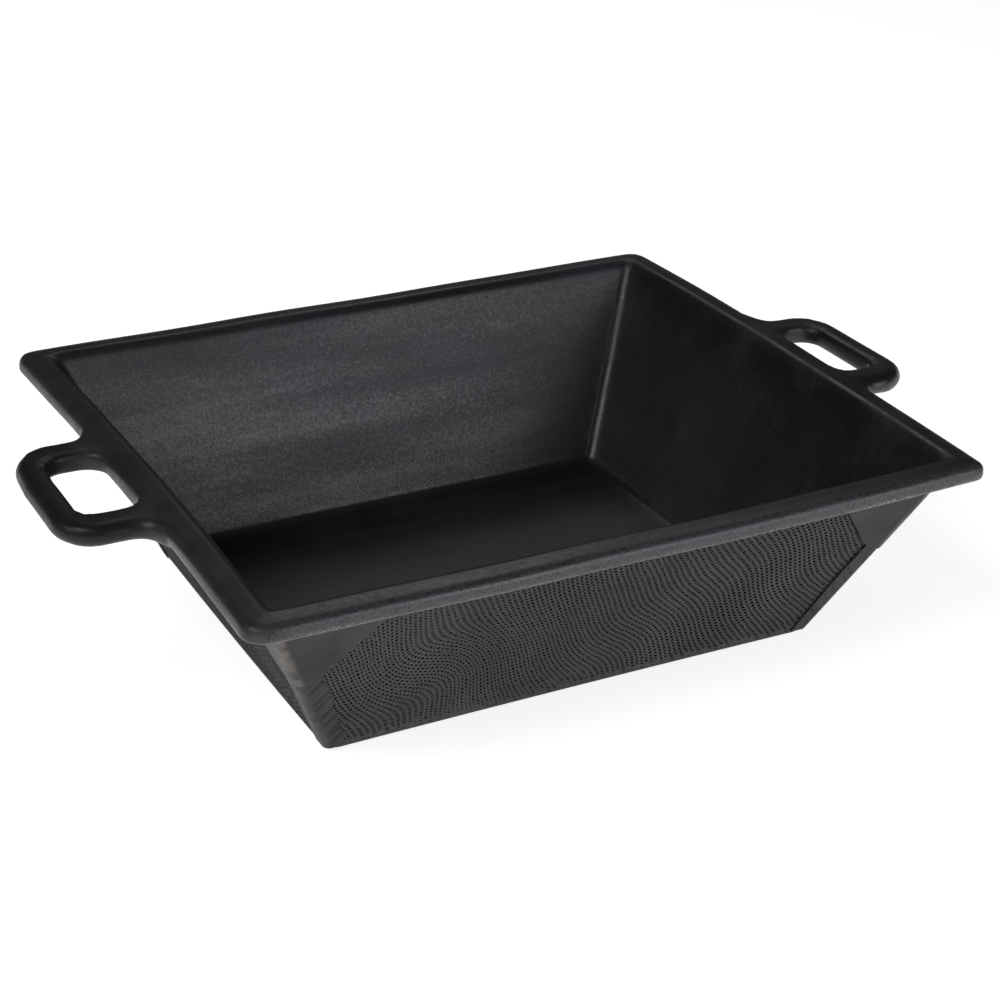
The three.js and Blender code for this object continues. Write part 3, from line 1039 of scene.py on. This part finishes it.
def press_pits(panel, outward, half_run, lean_run, seed):
    """Gives the sheet its thickness, then presses the pits into its outer cells."""
    apply_modifier(panel, "SOLIDIFY", thickness=SHEET, offset=-1)
    edit(panel)
    shape = bmesh.from_edit_mesh(panel.data)
    plain = PIT_ACROSS * PIT_ALONG
    centres = np.array([face.calc_center_median() for face in shape.faces])
    smear = waves(centres, seed + 7, (0.06, 0.09, 0.16), 1.0)
    draw = np.random.default_rng(seed + 2).normal(0, 0.25, len(centres))
    sides = centres[:, 0] / (half_run + lean_run * centres[:, 2])
    heights = (centres[:, 2] - base_high.z) / (rim_low.z - base_high.z)
    faded = 0.35 * np.clip(-sides, 0, 1) + 0.45 * np.clip(1 - 4 * heights, 0, 1)
    grade = 0.3 * smear + 0.6 * draw - faded
    areas = np.array([face.calc_area() for face in shape.faces])
    whole = np.array([
        len(face.verts) == 4 and face.normal.dot(outward) > 0.95 for face in shape.faces
    ]) & (areas > 0.7 * plain)
    total = 0
    chosen = {
        1: whole & (grade > DEEP_GRADE),
        2: whole & (grade <= DEEP_GRADE) & (grade > FAINT_GRADE),
    }
    tags = shape.faces.layers.int.new("grade")
    for value, group in chosen.items():
        for face, picked in zip(shape.faces, group):
            if picked:
                face[tags] = value
    along = Vector((1, 0, 0))
    upward = outward.cross(along)
    for value, opening, dip, depth in PIT_KINDS:
        shape = bmesh.from_edit_mesh(panel.data)
        tags = shape.faces.layers.int["grade"]
        total += pick(panel, "FACE", lambda face: face[tags] == value)
        bpy.ops.mesh.inset(thickness=opening * MM, depth=-dip * MM, use_individual=True)
        narrow_openings(panel, along, upward)
        mark_chosen(panel, value + PIT_MARK)
        bpy.ops.mesh.inset(thickness=WALL_OF_PIT * MM, depth=-depth * MM, use_individual=True)
        pick(panel, "FACE", lambda face: False)
    leave_edit()
    # The pit mark carries the painted shade: full in deep pits, and 0.45 in faint ones.
    grades = np.empty(len(panel.data.polygons), int)
    panel.data.attributes["grade"].data.foreach_get("value", grades)
    shade = np.select([grades == 1 + PIT_MARK, grades == 2 + PIT_MARK], [1.0, 0.45], 0.0)
    panel.data.attributes.remove(panel.data.attributes["grade"])
    panel.data.attributes.new("pit", "FLOAT", "FACE").data.foreach_set("value", shade)
    print(panel.name, "has", total, "pits")
    return panel


# %% Four wall panels
foot_x, foot_y = half_x(0), half_y(0)
front_panel = wall_panel("front_panel_skin", foot_x, lean_x, foot_y, lean_y, 11)
back_panel = copy_turned(front_panel, "back_panel_skin", math.pi)
side_panel = wall_panel("side_panel", foot_y, lean_y, foot_x, lean_x, 23)
left_panel = copy_turned(side_panel, "left_panel_skin", -math.pi / 2)
right_panel = copy_turned(side_panel, "right_panel_skin", math.pi / 2)
bpy.data.objects.remove(side_panel)
for side, panel in (
    ("front", front_panel), ("back", back_panel), ("left", left_panel), ("right", right_panel),
):
    cover = dusty_panel_rubber if side == "left" else panel_rubber
    finish_piece(panel, "panel_rubber", cover, f"{side}_wall_panel", angle=42)

# %% [markdown]
# ## The base
#
# Under the floor lies one more sheet, as large as the walls' foot. A block is widened at its top,
# and its lower edge is bevelled, as the rubber is worn round where the tub is dragged about. A
# plane with a thickness would do too, but its edge could not lean out with the walls.

# %% The base panel
FOOT_EDGE = 1.2 * MM
BASE_GRID = 16 * MM
base = leaning_block("base_skin", 0.0, base_high.z - HAIRLINE, 0, CORNER)
edit(base)
pick(base, "EDGE", lambda edge: middle(edge).z < TOUCH)
bpy.ops.mesh.bevel(offset=FOOT_EDGE, segments=3, affect="EDGES")
leave_edit()
for axis in (0, 1):
    slice_grid(base, axis, BASE_GRID)
finish_piece(base, "panel_rubber", base_rubber, "base_panel")

# %% [markdown]
# ## The corner straps and gussets
#
# The panels meet at the corners, where a narrow strap covers the joint, and a wide gusset under
# the rim covers the strap's top and takes the pull of the rim. Both are sheets that go round a
# leaning corner. A leaning line is extruded level along one wall, round the corner and along the
# other wall, which makes the sheet. Bisect then cuts its outline, as a knife would. One corner is
# modelled and mirrored to the others. A flat sheet folded with a bend would stretch at the fold.


# %% A sheet round a corner
# The sheets are folded sharper than the panels under them.
FOLD = 4.0 * MM


def corner_sheet(name, low, high, gap, wing, rows, wing_steps, round_steps):
    """A sheet over the front left corner, gap clear of the panels, wing long on each wall."""
    radius = FOLD
    foot = Vector((
        -half_x(low, -gap) + radius + wing,
        -half_y(low, -gap),
        low,
    ))
    climb = Vector((-lean_x, -lean_y, 1)) * (high - low)
    bpy.ops.object.select_all(action="DESELECT")
    bpy.ops.mesh.primitive_plane_add(size=1)
    piece = bpy.context.active_object
    piece.name = piece.data.name = name
    edit(piece)
    pick(piece, "VERT", lambda corner: corner.co.x > 0)
    bpy.ops.mesh.delete(type="VERT")  # one side of the plane is left: a single line
    shape = bmesh.from_edit_mesh(piece.data)
    for corner, spot in zip(sorted(shape.verts, key=lambda v: v.co.y), (foot, foot + climb)):
        corner.co = spot
    bmesh.update_edit_mesh(piece.data)
    bpy.ops.mesh.select_all(action="SELECT")
    bpy.ops.mesh.subdivide(number_cuts=rows - 1)
    steps = [Vector((-wing / wing_steps, 0, 0))] * wing_steps
    for i in range(round_steps):
        was, now = (math.pi / 2 * k / round_steps for k in (i, i + 1))
        steps.append(Vector((
            -radius * (math.sin(now) - math.sin(was)),
            radius * (math.cos(was) - math.cos(now)),
            0,
        )))
    steps += [Vector((0, wing / wing_steps, 0))] * wing_steps
    for step in steps:
        bpy.ops.mesh.extrude_edges_move(TRANSFORM_OT_translate={"value": step})
    bpy.ops.mesh.select_all(action="SELECT")
    bpy.ops.mesh.normals_make_consistent(inside=False)
    shape = bmesh.from_edit_mesh(piece.data)
    facing = sum(face.normal.dot(Vector((-1, -1, 0))) for face in shape.faces)
    if facing < 0:
        bpy.ops.mesh.flip_normals()
    leave_edit()
    return piece


# %% Cutting the outline
FLAT_ON_WALL = 0.97


def trim_wings(piece, near, far):
    """Cuts both wings along the line between two spots, given as (height, width from the edge)."""
    edit(piece)
    for on_front in (True, False):
        def spot(height, width):
            x, y = -half_x(height), -half_y(height)
            return Vector((x + width, y, height) if on_front else (x, y + width, height))
        line = spot(*far) - spot(*near)
        face_way = Vector((0, -1, -lean_y)) if on_front else Vector((-1, 0, -lean_x))
        cut = line.cross(face_way).normalized()
        along = Vector((1, 0, 0)) if on_front else Vector((0, 1, 0))
        cut = cut if cut.dot(along) > 0 else -cut
        way = face_way.normalized()
        pick(piece, "FACE", lambda face: face.normal.dot(way) > FLAT_ON_WALL)
        bpy.ops.mesh.bisect(plane_co=spot(*near), plane_no=cut, clear_outer=True)
    leave_edit()


# %% The straps, with their pressed creases
STRAP_SHEET = 1.7 * MM
STRAP_EDGE = 0.4 * MM
STRAP_LOW = 3.4 * MM
STRAP_TOP = gusset_low.z + 11 * MM
STRAP_GAP = -0.5 * MM
STRAP_WIDTH_LOW, STRAP_WIDTH_HIGH = 14 * MM, 20 * MM
STRAP_FULL = 80 * MM
CREASES = (8, 15, 20, 29, 37, 48, 55, 66)
CREASE_LEAN, CREASE_CURVE = 0.75, 8
CREASE_WIDTH = 0.8 * MM
CREASE_START, CREASE_FADE = 4 * MM, 3 * MM

strap = corner_sheet("strap", STRAP_LOW, STRAP_TOP, STRAP_GAP, STRAP_WIDTH_LOW, 120, 10, 8)
trim_wings(strap, (STRAP_LOW, STRAP_WIDTH_LOW), (STRAP_FULL, STRAP_WIDTH_HIGH))


def press_creases(piece, seed):
    """Slanting creases, as in a strip that was laid by hand round a corner."""
    points = points_of(piece)
    x, y, z = points.T
    wing = np.maximum(x + half_x(z), y + half_y(z)) - CREASE_START
    draw = np.random.default_rng(seed)
    depth = np.zeros(len(points))
    for start in CREASES:
        level = start * MM + draw.uniform(-2, 2) * MM
        off = (z - level - CREASE_LEAN * wing - CREASE_CURVE * wing**2) / CREASE_WIDTH
        bite = np.exp(-off**2) * np.clip(wing / CREASE_FADE, 0, 1)
        depth += draw.uniform(0.6, 1.0) * MM * bite
    on_front = (x + half_x(z) > y + half_y(z))[:, None]
    way = np.where(on_front, [[0.0, -1.0, 0.0]], [[-1.0, 0.0, 0.0]])
    set_points(piece, points - way * depth[:, None])


press_creases(strap, 4)
apply_modifier(strap, "SOLIDIFY", thickness=STRAP_SHEET, offset=1)
apply_modifier(strap, "BEVEL", width=STRAP_EDGE, segments=2, limit_method="ANGLE")
print("a strap has", triangles(strap), "triangles")

# %% The gussets
GUSSET_SHEET = 2.7 * MM
GUSSET_EDGE = 0.9 * MM
GUSSET_GAP = -0.4 * MM
GUSSET_TOP = rim_low.z + 1.2 * MM
GUSSET_WING = 92 * MM
# The outline of a wing, from its tip to the rim: height, and width from the corner's edge.
GUSSET_OUTLINE = ((gusset_low.z, 8 * MM), (90 * MM, 25 * MM), (143 * MM, 91 * MM))

gusset = corner_sheet("gusset", gusset_low.z, GUSSET_TOP, GUSSET_GAP, GUSSET_WING, 16, 20, 8)
for near, far in zip(GUSSET_OUTLINE, GUSSET_OUTLINE[1:]):
    trim_wings(gusset, near, far)
apply_modifier(gusset, "SOLIDIFY", thickness=GUSSET_SHEET, offset=1)
apply_modifier(gusset, "BEVEL", width=GUSSET_EDGE, segments=3, limit_method="ANGLE")
print("a gusset has", triangles(gusset), "triangles")


# %% All four corners
def mirror_copy(piece, name, flip_x, flip_y):
    """A copy mirrored to another corner, with its faces turned outward again."""
    made = copy_turned(piece, name)
    made.scale = (-1 if flip_x else 1, -1 if flip_y else 1, 1)
    settle_place(made)
    if flip_x != flip_y:
        edit(made)
        bpy.ops.mesh.flip_normals()
        leave_edit()
    return made


for corner, flip_x, flip_y in (
    ("front_left", False, False), ("front_right", True, False),
    ("back_left", False, True), ("back_right", True, True),
):
    for kind, model in (("strap", strap), ("gusset", gusset)):
        made = mirror_copy(model, f"{corner}_{kind}_skin", flip_x, flip_y)
        finish_piece(made, "patch_rubber", patch_rubber, f"{corner}_corner_{kind}")
for model in (strap, gusset):
    bpy.data.objects.remove(model)

# %% [markdown]
# ## What lies inside
#
# The fabric plies and the cords are inside the rubber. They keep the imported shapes, and bow with
# the rest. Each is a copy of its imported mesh, merged, cut finer so that it can bow, and finished
# as woven nylon or as laid cord. They could be modelled anew, but nothing of them shows.

# %% The hidden plies and cords
INNER_GRID = 40 * MM
MERGE = 0.01 * MM
NYLON, PALE_NYLON = (0.10, 0.095, 0.08), (0.3, 0.28, 0.24)
CORD, PALE_CORD = (0.12, 0.11, 0.09), (0.3, 0.27, 0.22)
fabric = worn_rubber("woven_nylon", NYLON, PALE_NYLON, 0.8, (0.7, 0.9), 700, ALONG_X)
cord = worn_rubber("laid_nylon_cord", CORD, PALE_CORD, 0.8, (0.75, 0.95), 500, ALONG_X)


def inner_copy(node, name):
    """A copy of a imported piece, merged and cut fine enough to bow."""
    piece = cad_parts[node].copy()
    piece.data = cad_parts[node].data.copy()
    for key in list(piece.keys()):
        del piece[key]
    piece.parent = None
    piece.name = piece.data.name = name
    bpy.context.scene.collection.objects.link(piece)
    edit(piece)
    bpy.ops.mesh.remove_doubles(threshold=MERGE)
    leave_edit()
    for axis in (0, 1):
        slice_grid(piece, axis, INNER_GRID)
    return piece


sides = ("front", "back", "left", "right")
for node in ("floor_fabric", *(f"{side}_wall_fabric" for side in sides)):
    finish_piece(inner_copy(node, f"{node}_ply"), "nylon_fabric", fabric, node)
for node in ("rim_cord_ring", "left_handle_cord", "right_handle_cord"):
    finish_piece(inner_copy(node, f"{node}_laid"), "cord", cord, node)

# %% [markdown]
# ## The floor it stands on
#
# The tub stands on a plain pale table that is lit from below, as a light table in a studio is, so
# hardly a shadow falls and the outer walls mirror something pale. The glow is an emission in the
# floor's material. A second lamp under a glass plate could do it too, but would take longer.

# %% Floor
FLOOR_SIZE = 44
FLOOR_DROP = 0.4 * MM
FLOOR_WHITE = (0.95, 0.95, 0.95, 1)
FLOOR_GLOW = 0.75
bpy.ops.object.select_all(action="DESELECT")
bpy.ops.mesh.primitive_plane_add(size=FLOOR_SIZE, location=(0, 0, -FLOOR_DROP))
ground = bpy.context.active_object
ground.name = "studio_floor"
pale = bpy.data.materials.new("pale_floor")
pale.use_nodes = True
pale_shader = pale.node_tree.nodes["Principled BSDF"]
pale_shader.inputs["Base Color"].default_value = FLOOR_WHITE
pale_shader.inputs["Roughness"].default_value = 0.9
pale_shader.inputs["Specular IOR Level"].default_value = 0.1
pale_shader.inputs["Emission Color"].default_value = (1, 1, 1, 1)
pale_shader.inputs["Emission Strength"].default_value = FLOOR_GLOW
ground.data.materials.append(pale)
print("the floor is", FLOOR_SIZE, "m wide")

# %% [markdown]
# ## The lights
#
# Black rubber shows its shape by what it mirrors, so the lights are soft boxes, each set where one
# part of the tub mirrors it. The box at the front right lies low, and the inside of the back wall
# mirrors it. The one at the back right is weak and lights the flat top of the rim. The large one
# high on the left fills in. None hangs straight above, so the floor of the tub and its right wall
# stay deep. A lit dome would be simpler, but it greys black rubber all over.


# %% Lights
def soft_light(name, spot, aim, wide, tall, watts, colour=(1, 1, 1)):
    """A soft box that faces a point."""
    data = bpy.data.lights.new(name, "AREA")
    data.shape = "RECTANGLE"
    data.size, data.size_y = wide, tall
    data.energy = watts
    data.color = colour
    light = bpy.data.objects.new(name, data)
    light.location = spot
    light.rotation_euler = (Vector(aim) - Vector(spot)).to_track_quat("-Z", "Y").to_euler()
    bpy.context.scene.collection.objects.link(light)
    return light


COOL_WHITE = (0.93, 0.95, 1.0)
AIR_GLOW = 0.03
soft_light("front_right_box", (0.95, -1.9, 0.75), (0, 0, 0.08), 1.3, 0.9, 16, COOL_WHITE)
soft_light("back_right_box", (1.0, 1.9, 2.05), (0, 0, 0.1), 1.1, 0.8, 5)
soft_light("left_box", (-2.8, -0.6, 3.0), (0, 0, 0.1), 2.5, 2.5, 75)
sky = bpy.data.worlds.new("studio_air")
sky.use_nodes = True
sky.node_tree.nodes["Background"].inputs["Color"].default_value = (1, 1, 1, 1)
sky.node_tree.nodes["Background"].inputs["Strength"].default_value = AIR_GLOW
bpy.context.scene.world = sky
print("lights:", [light.name for light in bpy.data.lights])
